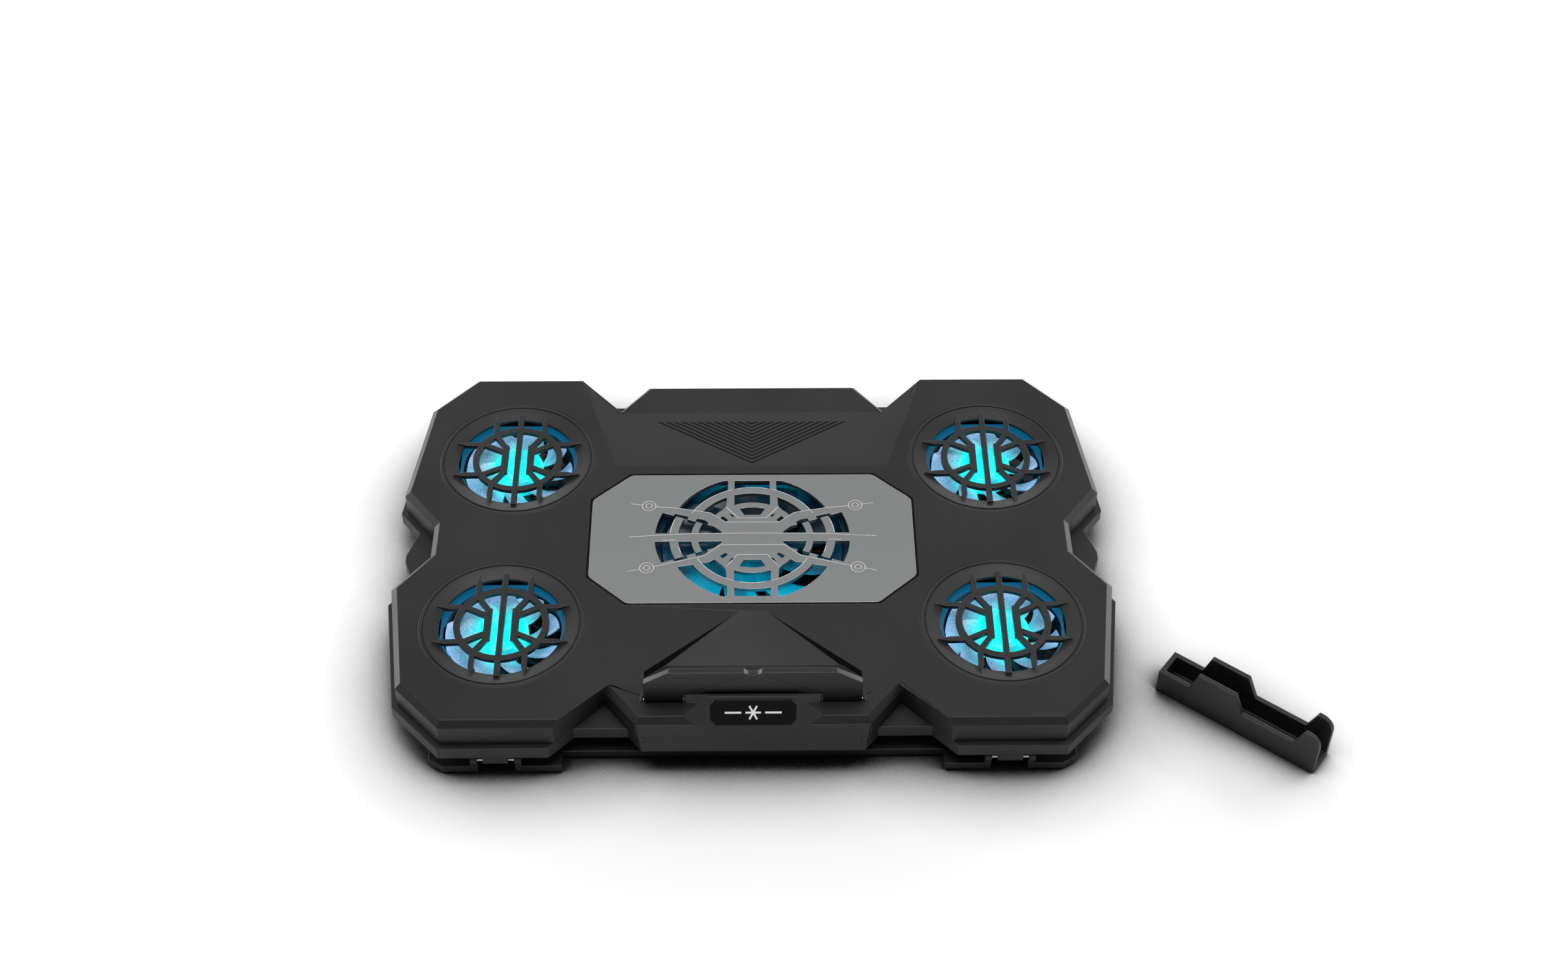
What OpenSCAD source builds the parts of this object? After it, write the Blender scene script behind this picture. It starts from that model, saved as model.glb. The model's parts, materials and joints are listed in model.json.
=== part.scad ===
// Laptop cooling pad: five fans in a faceted two-part casing on a hinged tilting stand,
// with a flip-up front stopper and a separate phone cradle beside it.
// Millimetres. X to the right, Y to the rear, Z up. The origin is on the table under the pad's centre.

/* [Pad] */
// Width over the flat upper faces of the fan pods
pad_w = 406.4; // [400:0.2:490]
// Depth over the flat upper faces of the fan pods
pad_d = 270.2; // [256:0.2:326]
// Thickness of the pad, underside to top face
pad_t = 25; // [25:0.5:31]
// Height of the pad's underside above the table
stand_h = 16; // [16:0.5:22]
// Wall thickness of both casings
wall = 2.5; // [2:0.1:3]
// Bevel round the upper edge
bevel = 3.3; // [2:0.1:4.5]
// How far the lower casing's ledge stands out
ledge = 3.5; // [2:0.1:5]
// Height of the lower casing's side
ledge_h = 8; // [7:0.5:10]

/* [Pods and waist] */
// Distance from a pod's outer side to the fan's axis
pod_side = 61.7; // [60:0.1:66]
// Distance from a pod's front or rear side to the fan's axis
pod_end = 69.1; // [66:0.1:74]
// Depth of the waist between the pods, each side
waist_in = 19.7; // [10:0.1:22]
// Half the length of the waist's straight side
waist_half = 12.8; // [8:0.1:16]
// Reach of the small wing in each waist
wing_reach = 20.5; // [14:0.1:23]

/* [Centre panels] */
// Half width of the front and rear panels at their edge
panel_half = 62.7; // [60:0.1:66]
// Drop of the panels below the pods
panel_drop = 3; // [2:0.1:3.4]
// Distance of the panel edge behind the pods' edge
panel_back = 4.1; // [3:0.1:6]
// How far the panel's edge wall leans out towards its foot
panel_lean = 3.7; // [1:0.1:5]
// Depth of the notches beside the panels
notch_in = 26.1; // [22:0.1:30]
// Half width between the notches' roots
notch_x = 80; // [76:0.1:84]

/* [Plate] */
// Width of the silver plate
plate_w = 188.8; // [180:0.2:189]
// Depth of the silver plate
plate_d = 102.6; // [100:0.2:106]
// Thickness of the silver plate
plate_t = 2.6; // [2:0.1:3]
// Width of the trim round the plate
trim_w = 1.3; // [0.8:0.1:1.6]
// Radius of the grille in the plate
plate_grille_r = 49.4; // [46:0.1:52]
// How far the grille's left and right halves are pulled apart, each way
grille_stretch = 7.6; // [0:0.1:10]
// Half height at which the grille is cut flat
grille_flat = 46.3; // [40:0.1:46.5]

/* [Fans] */
// Width of a corner fan's square frame
fan_w = 70; // [64:0.5:72]
// Outer radius of the centre fan's round frame
big_fan_r = 57.5; // [50:0.5:57.5]
// Height of all the fans
fan_h = 15; // [13:0.5:15]
// Gap between a rotor's blades and its duct
blade_gap = 1.2; // [0.8:0.1:2]
// Radius of a rotor's shaft
shaft_r = 1.5; // [1:0.1:2]
// Radial running clearance of shafts and pins
run_gap = 0.05; // [0.02:0.01:0.09]
// Blades on each rotor
blades = 9; // [7:1:11]

/* [Covers] */
// Outer radius of a fan cover's rim
cover_r = 46.9; // [44:0.1:48]
// Radius of a fan cover's opening
cover_open_r = 35.5; // [33:0.1:37]
// Height of the cover's grille bars
bar_h = 2.6; // [2:0.1:3]

/* [Stopper] */
// Height of the stopper above its hinge
stopper_h = 24.4; // [18:0.1:26]
// Thickness of the stopper
stopper_t = 4; // [3:0.1:4]
// Half width of the stopper along its free edge
stopper_top_half = 45.5; // [40:0.1:50]
// Half width of the stopper at its hinge
stopper_half = 59.7; // [56:0.1:59.8]
// Width of one of its hinge lugs
lug_w = 21.4; // [16:0.1:24]
// Radius of its hinge pins
stopper_pin_r = 0.8; // [0.6:0.05:1]

/* [Badge] */
// Half width of the badge block
block_half = 24.6; // [22:0.1:28]
// Height and depth of the block's sloped face
block_rise = 12.5; // [11:0.1:13.5]

/* [Stand] */
// Thickness of the stand's base frame
base_t = 5; // [4:0.1:5.5]
// Height of the rubber feet under the base
foot_gap = 1.5; // [1:0.1:3]
// Radius of the front hinges' pins
hinge_pin_r = 1; // [0.8:0.05:1.2]
// Radius of the front hinges' knuckles
knuckle_r = 2.5; // [2.2:0.1:3]
// Length of the prop from its pivot to its foot
prop_l = 75; // [70:0.5:75]
// From the front hinges back to the prop's pivot
prop_reach = 227; // [225:0.5:231]
// Radius of the prop's pivot rod
prop_rod_r = 1.5; // [1:0.1:1.8]

/* [Phone cradle] */
// Length of the cradle
cradle_l = 100; // [80:1:130]
// Width of the cradle
cradle_w = 18.5; // [14:0.5:24]
// Height of the cradle's low walls
cradle_low = 16; // [12:0.5:18]
// Height of the cradle's humps
cradle_high = 28.5; // [24:0.5:34]
// Wall of the cradle
cradle_wall = 3; // [2:0.1:4]

/* [Hidden] */
fan_names = ["front_left", "front_right", "rear_left", "rear_right", "centre"];

$fn = 96;
eps = 0.01;
fit_gap = 0.1;         // clearance between pieces that seat in one another
thread_gap = 0.02;     // clearance between a screw and its boss

// Levels
under_z = stand_h;                 // underside of the pad
floor_z = under_z + wall;          // inner floor of the lower casing
split_z = under_z + ledge_h;       // where the casings meet
top_z = under_z + pad_t;           // flat upper face
roof_z = top_z - wall;             // underside of the upper casing's top
panel_z = top_z - panel_drop;      // front and rear panels
pocket_z = panel_z - 3.4;          // floor of the stopper's pocket
fan_z = floor_z + 1;               // underside of the fans

// Plan
half_w = pad_w / 2;
half_d = pad_d / 2;
pod_x = half_w - pod_side;
pod_y = half_d - pod_end;
waist_x = half_w - waist_in;
fold_y = plate_d / 2 + 8.1;
fold_x = notch_x + 1.6;
notch_y = half_d - notch_in;
panel_y = half_d - panel_back;
// One quarter of the top face's outline, from the waist round the pod to the panel's corner
quarter = [
    [waist_x, waist_half],
    [half_w, pod_y - 27.4],
    [half_w - 9.4, pod_y + 43],
    [half_w - 33.5, half_d],
    [notch_x + 25.4, half_d],
    [notch_x, notch_y],
    [panel_half, panel_y]];
corners = len(quarter);
outline = all_round(quarter);
edges = len(outline);
// The pod's wall in each notch has no bevel
bare = [for (i = [0 : edges - 1]) quarter_edge(i) == 4 ? 0 : 1];
// The panels' edge walls lean out
leaning = [for (i = [0 : edges - 1]) i == corners - 1 || i == 3 * corners - 1 ? 1 : 0];
flat_region = concat(
    [for (i = [0 : 4]) quarter[i]], [[fold_x, fold_y], [-fold_x, fold_y]],
    [for (i = [4 : -1 : 0]) across(quarter[i])], [for (i = [0 : 4]) -quarter[i]],
    [[-fold_x, -fold_y], [fold_x, -fold_y]], [for (i = [4 : -1 : 0]) -across(quarter[i])]);
wall_line = moved(outline, bevel * bare);
inner_line = moved(outline, bevel * bare - [for (i = [0 : edges - 1]) wall]);

shelf_y = half_d - 6.9;            // lower casing's edge in the notches
shelf_x = notch_x + (shelf_y - notch_y) * 25.4 / notch_in;
skirt_y = panel_y + bevel + panel_lean;

// Lower casing: a wing in the waist, then the pod's ledge, then the shelf in the notch
ledge_line = moved(outline, (bevel + ledge) * bare);
wing_root = ledge_line[1] + (ledge_line[0] - ledge_line[1]) * 0.62;
lower_quarter = [
    [waist_x + wing_reach, 2.5],
    wing_root,
    ledge_line[1], ledge_line[2], ledge_line[3], ledge_line[4],
    [shelf_x, shelf_y]];
lower_outline = all_round(lower_quarter);

fan_pos = [[-pod_x, -pod_y], [pod_x, -pod_y], [-pod_x, pod_y], [pod_x, pod_y], [0, 0]];
small_duct_r = fan_w / 2 - 1.5;
big_duct_r = big_fan_r - 3.5;
small_hub_r = 15;
big_hub_r = 21;
small_screw = fan_w / 2 - 3.5;
big_screw = (big_fan_r + 4.7) / sqrt(2);
bush_r = shaft_r + 1.6;
fan_screw_r = 1.5;

// Fixings of the casings
boss_pos = [[pod_x + 48.5, pod_y - 28], [pod_x + 8.7, pod_y + 56.1], [pod_x - 57.5, pod_y + 9]];
boss_r = 3.5;
shell_screw_r = 1.5;

// Plate
plate_cut = [22.4, 20.6];          // the plate's cut corners, along X and Y
seat_z = top_z - plate_t;
seat_lip = 4;                      // how far the seat reaches under the plate
grille_arm_y = 25.6;

// Stopper hinge
hinge_y = -(panel_y - 12.5);       // the stopper's axis
hinge_z = panel_z - 1;
ear_w = 1.5;
lug_in = stopper_half - lug_w;     // inner side of a lug
pocket_front = hinge_y - stopper_t / 2 - 0.8;
pocket_back = hinge_y + stopper_h + 1.6;

// Badge block
block_foot = [-(panel_y + bevel + 1.8), top_z - 8];    // lower edge of the sloped face, in Y and Z
block_head = block_foot + [block_rise, block_rise];

// Stand
base_z = foot_gap + base_t;        // upper face of the base
axis_z = base_z + 5;               // the stand's hinges
front_axis_y = -(half_d + 3.9);
prop_y = front_axis_y + prop_reach;
knuckle_half = 7;
arm_in = 10.2;
arm_out = 14;
arm_x = notch_x + 4;               // inner side of the prop's arms
arm_w = 8;
ear_gap = 0.6;
foot_y = prop_y - prop_l;          // the prop's foot, folded
sleeve_r = 3;
foot_r = 2.4;
rail_in = 56;
rail_out = notch_x;
rack_in = rail_in + 3;
rack_out = rail_out - 3;
prop_ratio = 2.25;                 // prop angle for each degree of tilt
base_front = -(half_d + 4.9);
base_rear = prop_y + 20;
foot_pos = [[pod_x + 20, base_front + 14], [pod_x - 42, base_rear - 8]];

// Electronics
board_y = panel_y - 19;
board_z = floor_z + 2.5;
board_t = 1.6;
board_half = [36, 13];
port_x = [-26, -9];
port_size = [13.2, 14, 5.8];
port_z = board_z + board_t;
port_back = panel_y + 4.3;         // mouth of the sockets
button_x = 10;
button_z = port_z + 3;
wheel_x = 28;
wheel_r = 9;
wheel_t = 3.4;
wheel_z = port_z + 1.6;
wheel_y = skirt_y - 8.5;

// The cradle lies beside the pad, turned
cradle_at = [half_w + 27.1, -82.9];
cradle_turn = -37.7;

function across(p) = [-p.x, p.y];
function all_round(q) = concat(
    q, [for (i = [len(q) - 1 : -1 : 0]) across(q[i])],
    [for (p = q) -p], [for (i = [len(q) - 1 : -1 : 0]) -across(q[i])]);
// Edge i of the full outline, as the number of the matching edge in the quarter
function quarter_edge(i) = let (k = i % (2 * corners)) k < corners ? k : 2 * corners - 2 - k;
// Corner b of an outline once its two edges have moved out by their own distances
function moved_corner(a, b, c, d1, d2) =
    let (u = (b - a) / norm(b - a), v = (c - b) / norm(c - b), n = [u.y, -u.x], m = [v.y, -v.x])
    b + n * d1 + u * (d2 - d1 * (n * m)) / cross(u, v);
function moved(p, d) =
    let (n = len(p))
    [for (i = [0 : n - 1]) moved_corner(p[(i + n - 1) % n], p[i], p[(i + 1) % n], d[(i + n - 1) % n], d[i])];
function evenly(p, d) = moved(p, [for (q = p) d]);
function distance_to_line(p, a, b) = abs(cross(b - a, p - a)) / norm(b - a);
function octagon(w, d, cut) = all_round([[w / 2, d / 2 - cut.y], [w / 2 - cut.x, d / 2]]);
function arc(c, r, a, b, n) = [for (i = [0 : n]) c + r * [cos(a + (b - a) * i / n), sin(a + (b - a) * i / n)]];
// Centre of the prop's foot, in Y and Z, at a tilt of the pad
function foot_at(t) =
    let (reach = prop_y - front_axis_y, a = (1 + prop_ratio) * t)
    [front_axis_y + reach * cos(t) - prop_l * cos(a), axis_z + reach * sin(t) - prop_l * sin(a)];

module slab(points, z0, z1) {
    translate([0, 0, z0]) linear_extrude(z1 - z0) polygon(points);
}
module each_side() {
    children();
    mirror([1, 0, 0]) children();
}
module each_quarter() {
    each_side() {
        children();
        mirror([0, 1, 0]) children();
    }
}
module rod_x(x0, x1, y, z, r) {
    translate([x0, y, z]) rotate([0, 90, 0]) cylinder(h = x1 - x0, r = r);
}
module block(x0, x1, y0, y1, z0, z1) {
    translate([x0, y0, z0]) cube([x1 - x0, y1 - y0, z1 - z0]);
}
// A straight bar between two points of a flat pattern
module bar_2d(p, q, w) {
    d = q - p;
    translate(p) rotate(atan2(d.y, d.x)) translate([0, -w / 2]) square([norm(d), w]);
}
// The same with a pointed end
module spike_2d(p, q, w, tip) {
    d = (q - p) / norm(q - p);
    n = [-d.y, d.x] * w / 2;
    polygon([p - n, q - d * tip - n, q, q - d * tip + n, p + n]);
}
module ring_2d(r0, r1) {
    difference() {
        circle(r1);
        circle(r0);
    }
}

// Upper casing

// Outer skin: a flat middle, four pods that each carry one sloped facet, and two panels.
// Each is convex, and they run into one another where the outline turns inwards.
module upper_skin() {
    fold = [fold_x, fold_y];
    inner_end = quarter[1] + 2 * (quarter[0] - quarter[1]);
    // The pod's wall in the notch and its facet end a little inside the panel
    pod_root = quarter[5] + 0.06 * (quarter[5] - quarter[4]);
    pod = [quarter[1], quarter[2], quarter[3], quarter[4], pod_root, pod_root - [10, 22],
           fold - [14, 9], inner_end];
    pod_edges = [1, 1, 1, 0, 0, 0, 0, 1];
    facet_angle = atan((panel_drop + 0.03) / distance_to_line(quarter[5], fold, quarter[4]));
    middle = all_round([[waist_x, waist_half + 12], fold]);
    panel_root = quarter[5] + (quarter[5] - quarter[6]) / 2;
    panel_head = fold + [8, -8];
    panel = [panel_head, panel_root, quarter[6], across(quarter[6]), across(panel_root), across(panel_head)];
    panel_edges = [0, 1, 1, 1, 0, 0];
    difference() {
        slab(moved(middle, (bevel + 1) * [0, 0, 0, 1, 0, 0, 0, 1]), split_z, top_z);
        edge_trim(middle[7], middle[0], top_z);
        edge_trim(middle[3], middle[4], top_z);
    }
    each_quarter() difference() {
        slab(moved(pod, bevel * pod_edges), split_z, top_z);
        for (i = [0 : 7]) if (pod_edges[i] > 0) plane_cut(pod[i], pod[(i + 1) % 8], top_z, 45);
        plane_cut(quarter[4], fold, top_z, facet_angle);
    }
    for (s = [0, 1]) mirror([0, s, 0]) difference() {
        intersection() {
            slab(moved(panel, (bevel + 1) * panel_edges), split_z, top_z);
            rotate([90, 0, 90]) translate([0, 0, -half_w]) linear_extrude(pad_w) polygon([
                [panel_head.y, split_z], [half_d + 10, split_z], [half_d + 10, panel_z], [notch_y - 0.3, panel_z],
                [fold_y, top_z], [panel_head.y, top_z]]);
        }
        for (i = [1 : 3]) edge_trim(panel[i], panel[i + 1], panel_z);
    }
}
// Removes what lies outside the bevel and the wall on the right of the line from a to b
module edge_trim(a, b, z) {
    d = b - a;
    translate([a.x, a.y, z]) rotate(atan2(d.y, d.x)) translate([-30, 0, 0]) rotate([90, 0, 90])
        linear_extrude(norm(d) + 60) polygon([[10, 10], [-bevel, -bevel], [-bevel, -50], [-30, -50], [-30, 10]]);
}
// Removes what lies above a plane that passes through a to b and falls away to the right of that line
module plane_cut(a, b, z, angle) {
    d = b - a;
    translate([a.x, a.y, z]) rotate(atan2(d.y, d.x)) rotate([angle, 0, 0]) translate([-30, -40, 0])
        cube([norm(d) + 60, 41, 40]);
}
// Hollow under the pods and, lower, under the panels
module upper_hollow() {
    z0 = split_z - 1;
    translate([0, 0, z0]) linear_extrude(roof_z - z0) intersection() {
        polygon(inner_line);
        polygon(evenly(flat_region, -0.5));
    }
    for (s = [0, 1]) mirror([0, s, 0]) {
        roof = s == 0 ? panel_z - wall - 0.3 : pocket_z - wall;
        translate([0, 0, z0]) linear_extrude(roof - z0) intersection() {
            polygon(inner_line);
            translate([-half_w, fold_y - 1]) square([pad_w, half_d]);
        }
    }
}
// A panel's leaning edge wall, which reaches down in front of the lower casing
module skirt() {
    // Its ends stay a hair inside the skin's, so that the two run together
    foot = moved(outline, (bevel - 0.02) * bare + panel_lean * leaning);
    wall_z = panel_z - bevel;
    wall_y = panel_y + bevel;
    thick = wall / cos(atan(panel_lean / (wall_z - under_z)));
    difference() {
        intersection() {
            rotate([90, 0, 90]) translate([0, 0, -half_w]) linear_extrude(pad_w) polygon([
                [shelf_y + fit_gap, under_z], [skirt_y, under_z], [wall_y + 0.05, wall_z - 0.15],
                [shelf_y + fit_gap, wall_z - 0.15]]);
            slab([foot[5], foot[6], foot[7], foot[8]], under_z - 1, top_z);
        }
        rotate([90, 0, 90]) translate([0, 0, -half_w]) linear_extrude(pad_w) polygon([
            [shelf_y - 1, under_z - 1], [skirt_y - thick, under_z - 1], [skirt_y - thick, under_z],
            [wall_y - thick, wall_z], [wall_y - thick, wall_z + 1], [shelf_y - 1, wall_z + 1]]);
    }
    each_side() intersection() {
        slab([foot[6], foot[5], foot[5] - [8, 0], foot[6] - [3, 0]], under_z, split_z + 1);
        block(0, half_w, shelf_y + fit_gap, skirt_y - 1, under_z, split_z + 1);
    }
}
// Chevron ribs in the rear panel: nested V shapes, parallel to the recess's sides
module chevrons() {
    foot_y = fold_y + 1.6;
    head_y = notch_y - 9;
    half = 58;
    depth = 0.8;
    pitch = 3.3;
    rib = 2;
    rise = head_y - foot_y;
    angle = atan(panel_drop / (notch_y - fold_y));
    translate([0, fold_y, top_z]) rotate([-angle, 0, 0]) translate([0, -fold_y, -depth]) linear_extrude(5) difference() {
        polygon([[0, foot_y], [half, head_y], [-half, head_y]]);
        intersection() {
            polygon([[0, foot_y], [half, head_y], [-half, head_y]]);
            for (i = [0 : 11]) translate([0, i * pitch + 1.3]) polygon([
                [0, foot_y], [half, head_y], [half, head_y + rib], [0, foot_y + rib],
                [-half, head_y + rib], [-half, head_y]]);
        }
    }
}
// Pocket that takes the folded stopper, with the ramp behind it
module pocket() {
    side = stopper_half + 0.6;
    head = [9.6, -fold_y];
    corner = [side, pocket_back - 7];
    ramp_angle = atan((top_z - pocket_z) / (-fold_y - pocket_back));
    difference() {
        slab([head, across(head), across(corner), [-side, pocket_front], [side, pocket_front], corner],
             pocket_z, top_z + 1);
        // What stays under the ramp
        translate([-half_w, -fold_y, top_z]) rotate([ramp_angle, 0, 0]) translate([0, -60, -30]) cube([pad_w, 70, 30]);
        // What stays under the ramp's steep sides
        each_side() {
            d = corner - head;
            translate([head.x, head.y, top_z]) rotate(atan2(d.y, d.x)) rotate([-12, 0, 0])
                translate([-20, 0, -20]) cube([norm(d) + 40, 20, 30]);
        }
    }
}
module rear_ports(gap) {
    for (x = port_x)
        block(x - port_size.x / 2 - gap, x + port_size.x / 2 + gap, board_y, skirt_y + 5,
              port_z - gap, port_z + port_size.z + gap);
}
module top_shell() color("#1f1f20") difference() {
    union() {
        difference() {
            upper_skin();
            upper_hollow();
        }
        for (s = [0, 1]) mirror([0, s, 0]) skirt();
        // Seat under the plate
        slab(evenly(octagon(plate_w, plate_d, plate_cut), 4), seat_z - 2.2, roof_z + eps);
        for (p = boss_pos) each_quarter()
            translate([p.x, p.y, floor_z + fit_gap]) cylinder(h = roof_z - floor_z, r = boss_r);
        // Ears of the stopper's hinge
        each_side() for (x = [lug_in - 0.3 - ear_w, stopper_half + 0.6])
            block(x, x + ear_w, pocket_front + 0.1, hinge_y + 2.4, pocket_z - 0.5, hinge_z + 2.2);
    }
    for (i = [0 : 3]) translate(fan_pos[i]) translate([0, 0, split_z]) cylinder(h = pad_t, r = cover_r + fit_gap);
    slab(evenly(octagon(plate_w, plate_d, plate_cut), trim_w + 0.05), seat_z, top_z + 1);
    slab(evenly(octagon(plate_w, plate_d, plate_cut), -seat_lip), split_z, top_z + 1);
    chevrons();
    difference() {
        pocket();
        each_side() for (x = [lug_in - 0.3 - ear_w, stopper_half + 0.6])
            block(x, x + ear_w, pocket_front, hinge_y + 2.4, pocket_z - 1, hinge_z + 2.2);
    }
    each_side() rod_x(lug_in - 3, stopper_half + 1.6, hinge_y, hinge_z, stopper_pin_r + 0.01);
    for (p = boss_pos) each_quarter()
        translate([p.x, p.y, floor_z]) cylinder(h = 12, r = shell_screw_r + thread_gap);
    badge_recess();
    rear_ports(0.3);
    block(button_x - 3.75, button_x + 3.75, board_y + 14, skirt_y + 5, button_z - 2.75, button_z + 2.75);
    block(wheel_x - 9.5, wheel_x + 9.5, wheel_y - 3, skirt_y + 5, wheel_z - 0.5, wheel_z + wheel_t + 0.5);
}

// Covers over the corner fans
module cover_bars_2d() {
    square([3.4, 2 * (cover_open_r + 2.5)], center = true);
    ring_2d(23.2, 27);
    each_quarter() {
        translate([5.6, -0.5]) square([4.3, 12]);
        bar_2d([7.7, 10.4], [14.6, 20.8], 3.1);
        spike_2d([14.5, 18.9], [15, 37.2], 3.2, 6.3);
        bar_2d([8.4, 6.4], [20.8, 12.9], 3.1);
        spike_2d([19, 12.6], [38, 13.2], 3.2, 7);
    }
}
module fan_cover(i) color("#262627") translate(fan_pos[i]) {
    rotate_extrude() polygon([
        [cover_open_r, roof_z - 1.3], [cover_open_r, top_z - 2], [cover_r - 3.9, top_z - 0.1],
        [cover_r - 3.3, top_z], [cover_r - 3, top_z - 0.8], [cover_r - 2.2, top_z - 0.8],
        [cover_r - 1.9, top_z], [cover_r - 0.3, top_z], [cover_r, top_z - 0.3], [cover_r, roof_z - fit_gap],
        [cover_r + 2.6, roof_z - fit_gap], [cover_r + 2.6, roof_z - 1.3]]);
    translate([0, 0, top_z - bar_h]) linear_extrude(bar_h) cover_bars_2d();
}

// Silver plate with the big grille
module grille_solid_2d() {
    square([2 * plate_grille_r + 2 * grille_stretch + 2, 6.6], center = true);
    polygon([[18, 4.5], [15.3, 12], [-15.3, 12], [-18, 4.5], [-18, -4.5], [-15.3, -12], [15.3, -12], [18, -4.5]]);
    ring_halves_2d(35.8, 40.9);
    ring_halves_2d(24.2, 28.2);
    each_quarter() {
        polygon([[14, 10], [18.1, 4.5], [28, 14], [33, 15.4], [53, 21.4], [60, 22.5], [60, grille_arm_y + 1],
                 [56.6, grille_arm_y], [43.4, 23.5], [24.7, 19.7], [15.3, 12]]);
        polygon([[10.4, 60], [14.2, 60], [14.4, 40], [15.4, 25], [19.5, 19.6], [13, 12.5], [10.2, 14.2], [14.4, 20.1],
                 [10.6, 25.8], [10.5, 40]]);
        polygon([[0, 12], [16, 12], [10.4, 17.2], [14.4, 20.1], [10.9, 25.7], [7.9, 23.4], [4.7, 18], [0, 18]]);
    }
}
// A ring whose left and right parts are pulled apart beyond the grille's arms
module ring_halves_2d(r0, r1) {
    wedge = [[0, 0], [200, 76], [200, -76]];
    difference() {
        ring_2d(r0, r1);
        each_side() polygon(wedge);
    }
    each_side() intersection() {
        translate([grille_stretch, 0]) ring_2d(r0, r1);
        polygon(wedge);
    }
}
module grille_opening_2d() {
    intersection() {
        square([200, 2 * grille_flat], center = true);
        union() {
            circle(plate_grille_r);
            each_side() intersection() {
                translate([grille_stretch, 0]) circle(plate_grille_r);
                polygon([[0, 0], [200, 76], [200, -76]]);
            }
        }
    }
}
module plate_shape_2d(d) {
    offset(r = 6 + d, $fn = 48) offset(delta = -6) polygon(octagon(plate_w, plate_d, plate_cut));
}
module centre_plate() color("#9a9ca0") translate([0, 0, seat_z]) linear_extrude(plate_t) difference() {
    plate_shape_2d(0);
    difference() {
        grille_opening_2d();
        grille_solid_2d();
    }
}
module plate_trim() color("#101011") translate([0, 0, seat_z]) linear_extrude(plate_t - 0.3) difference() {
    polygon(evenly(octagon(plate_w, plate_d, plate_cut), trim_w));
    plate_shape_2d(0.05);
}

// Badge
module sloped_face(lift, t) {
    // Frame of the block's sloped face: X across, Y up the slope, Z out of it
    translate([0, block_foot.x, block_foot.y]) rotate([45, 0, 0]) translate([0, 0, lift]) linear_extrude(t) children();
}
module badge_outline_2d(half, y0, y1, cut) {
    polygon([[-half + cut, y0], [half - cut, y0], [half, y0 + cut], [half, y1 - cut],
             [half - cut, y1], [-half + cut, y1], [-half, y1 - cut], [-half, y0 + cut]]);
}
module badge_block() color("#242425") difference() {
    union() {
        rotate([90, 0, 90]) translate([0, 0, -block_half]) linear_extrude(2 * block_half) polygon([
            block_foot, [block_head.x, block_head.y], [block_head.x + 1.2, block_head.y],
            [block_head.x + 1.8, panel_z - 1], [block_head.x + 1.8, block_foot.y - 1], [block_foot.x + 1, block_foot.y - 1]]);
        each_side() hull() {
            rotate([90, 0, 90]) translate([0, 0, block_half - 0.5]) linear_extrude(0.5) polygon([
                block_foot, [block_head.x, block_head.y], [block_head.x + 1.2, panel_z - 1],
                [block_foot.x + 1, block_foot.y - 1]]);
            block(block_half, block_half + 13.6, -panel_y, -panel_y + 0.5, panel_z - 1, panel_z + 0.1);
            block(block_half, block_half + 8.2, -(panel_y + bevel) + 0.05, -(panel_y + bevel) + 0.5,
                  panel_z - bevel - 0.4, panel_z - bevel);
        }
    }
    upper_skin();
    mirror([0, 1, 0]) skirt();
    badge_recess();
}
module badge_recess() {
    sloped_face(-0.8, 5) badge_outline_2d(23.3, 2.1, 15.7, 3);
}
module badge() color("#0a0a0b") difference() {
    sloped_face(-0.8, 1.2) badge_outline_2d(23.2, 2.2, 15.6, 3);
    sloped_face(0.2, 1) badge_mark_2d(0.02);
}
// A plain six-armed frost star between two short bars
module badge_mark_2d(grow) {
    translate([0, 8.9]) {
        for (a = [0, 60, 120]) rotate(a) square([8.4 + grow, 1 + grow], center = true);
        for (s = [-1, 1]) translate([s * 11, 0]) square([9 + grow, 1 + grow], center = true);
    }
}
module badge_mark() color("white") sloped_face(0.2, 0.25) badge_mark_2d(0);

// Flip-up stopper
module stopper() color("#1b1b1c") difference() {
    union() {
        translate([0, hinge_y + stopper_t / 2, hinge_z]) rotate([90, 0, 0]) linear_extrude(stopper_t) difference() {
            polygon([
                [-stopper_top_half, stopper_h], [-stopper_half, stopper_h - 8.8], [-stopper_half, 0], [-lug_in, 0],
                [-lug_in, 6.4], [lug_in, 6.4], [lug_in, 0], [stopper_half, 0], [stopper_half, stopper_h - 8.8],
                [stopper_top_half, stopper_h]]);
            translate([0, stopper_h + 3.5]) circle(6);
        }
        each_side() rod_x(lug_in, stopper_half, hinge_y, hinge_z, stopper_t / 2);
    }
    each_side() rod_x(lug_in - 1, stopper_half + 1, hinge_y, hinge_z, stopper_pin_r + run_gap);
}
module stopper_pins() color("#8f9296") each_side()
    rod_x(lug_in - 0.3 - ear_w, stopper_half + 1.5, hinge_y, hinge_z, stopper_pin_r);

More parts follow.
